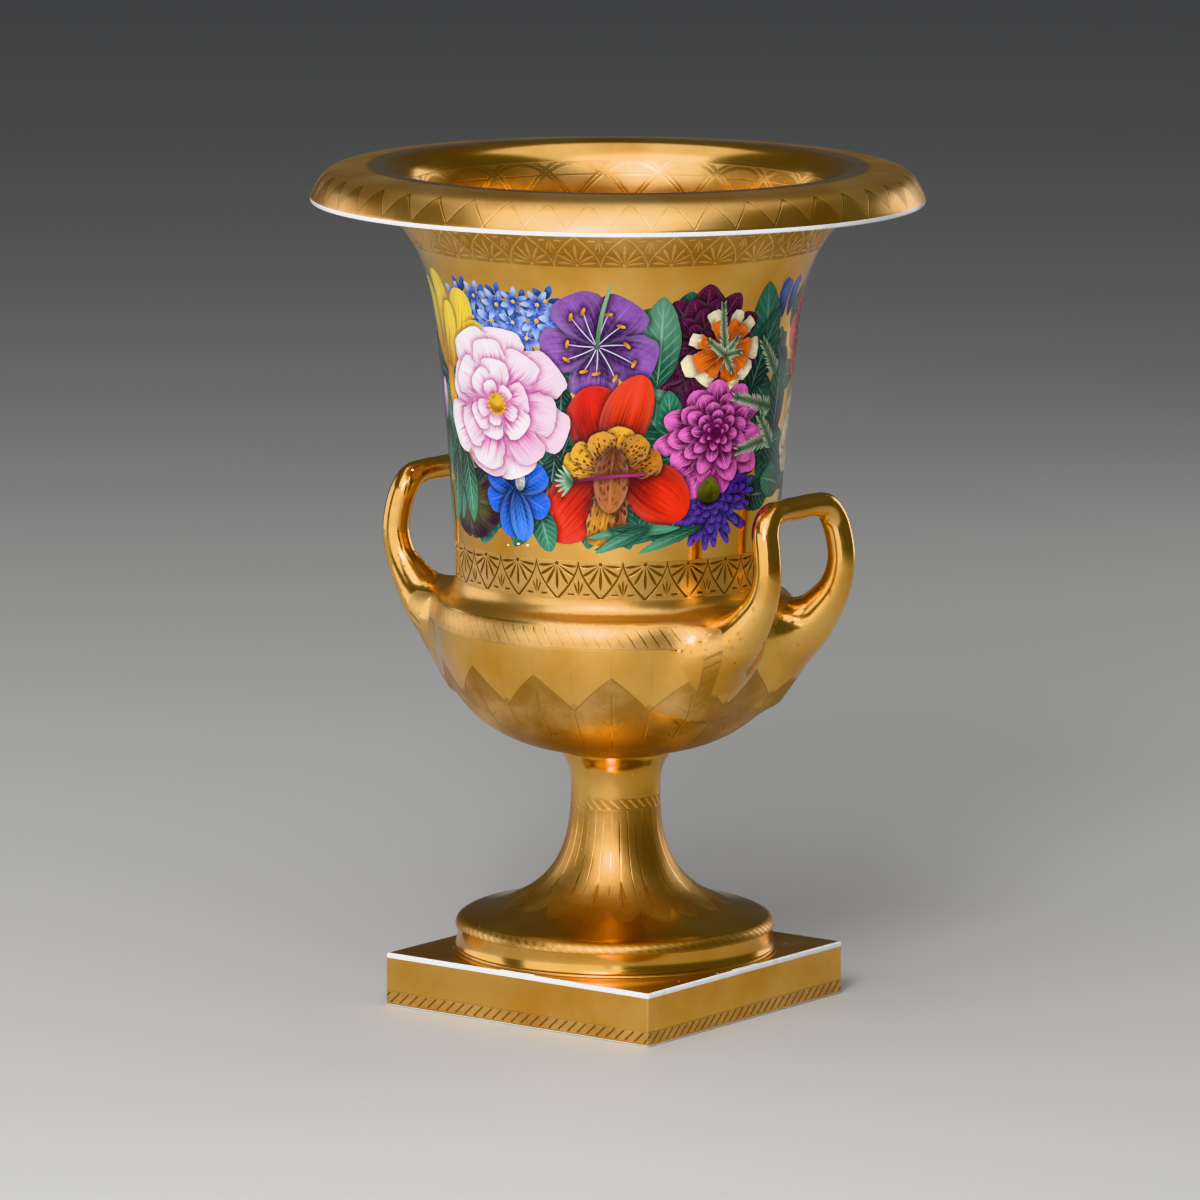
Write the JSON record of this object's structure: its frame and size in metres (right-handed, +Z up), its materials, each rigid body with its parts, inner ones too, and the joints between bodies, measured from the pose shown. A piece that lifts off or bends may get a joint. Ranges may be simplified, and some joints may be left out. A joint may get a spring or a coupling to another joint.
{
  "type": "mantel urn",
  "caption": "Gilt porcelain campana vase with a rolled lip, a flower-painted bell, two loop handles, a stemmed round foot and a square plinth.",
  "frame": {"origin": "middle of the plinth's underside", "axes": "+Z up through the stem to the mouth, X through the two handles, -Y to the painted front"},
  "size_m": [0.2792, 0.2792, 0.386],
  "materials": {
    "gilt_painted_body": "burnished gilding on porcelain with tooled matt bands, a band of painted flowers and a bare white lip edge",
    "gilt_foot": "tooled matt gilding with burnished lines and a polished ring",
    "gilt_plinth": "burnished gilding with a tooled rope band and bare white edges"
  },
  "bodies": {
    "root": {"urn_body": "gilt_painted_body", "stem_foot": "gilt_foot", "square_plinth": "gilt_plinth"}
  },
  "joints": []
}
